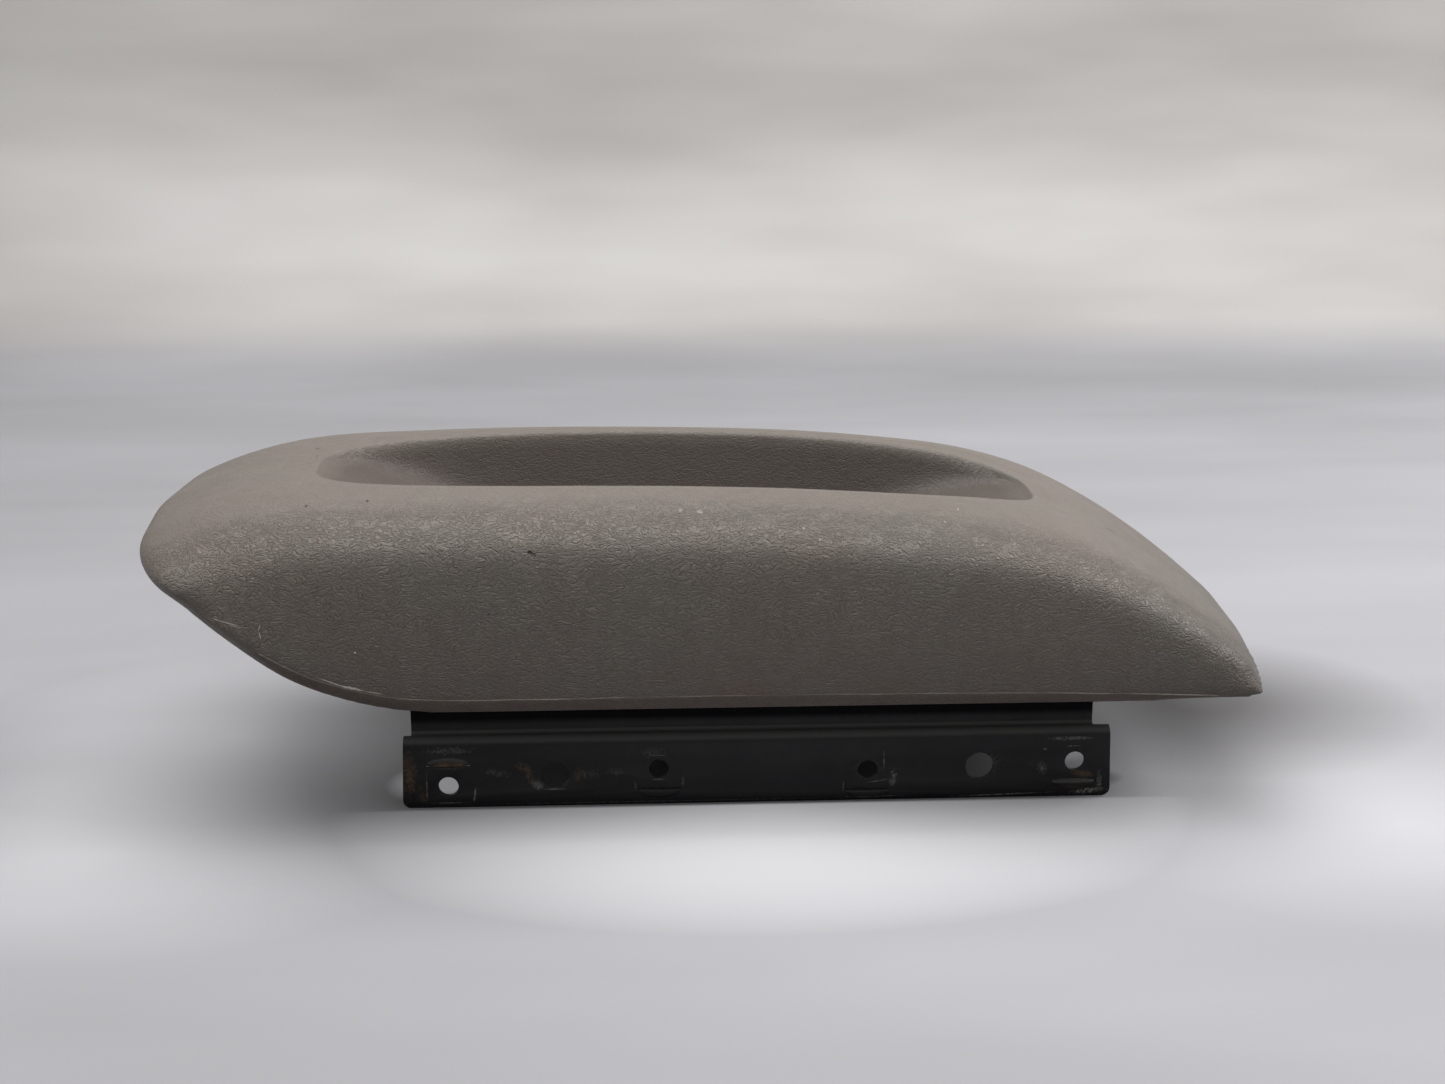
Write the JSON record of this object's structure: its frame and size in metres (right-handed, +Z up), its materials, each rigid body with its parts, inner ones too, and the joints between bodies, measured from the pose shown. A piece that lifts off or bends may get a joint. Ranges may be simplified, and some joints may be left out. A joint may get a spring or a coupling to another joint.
{
  "type": "console armrest lid",
  "caption": "Padded armrest lid for a center console: moulded skin pad with a raised blunt nose and a long top pocket, on a folded black steel bracket with drilled and lanced side flanges",
  "frame": {"origin": "middle of the pad's length and width, at the lower edges of the bracket's flanges", "axes": "+X along the lid from the nose to the tail, +Z up, -Y the side seen in the picture"},
  "size_m": [0.3882, 0.16, 0.1123],
  "materials": {
    "moulded_skin": "grained matte",
    "black_paint": "satin",
    "zinc_steel": "satin"
  },
  "bodies": {
    "root": {"armrest_pad": "moulded_skin", "bracket": "black_paint", "insert_plate": "zinc_steel", "mount_screw_1": "zinc_steel", "mount_screw_2": "zinc_steel", "mount_screw_3": "zinc_steel", "mount_screw_4": "zinc_steel", "lock_washer_1": "zinc_steel", "lock_washer_2": "zinc_steel", "lock_washer_3": "zinc_steel", "lock_washer_4": "zinc_steel", "insert_nut_1": "zinc_steel", "insert_nut_2": "zinc_steel", "insert_nut_3": "zinc_steel", "insert_nut_4": "zinc_steel"}
  },
  "joints": []
}
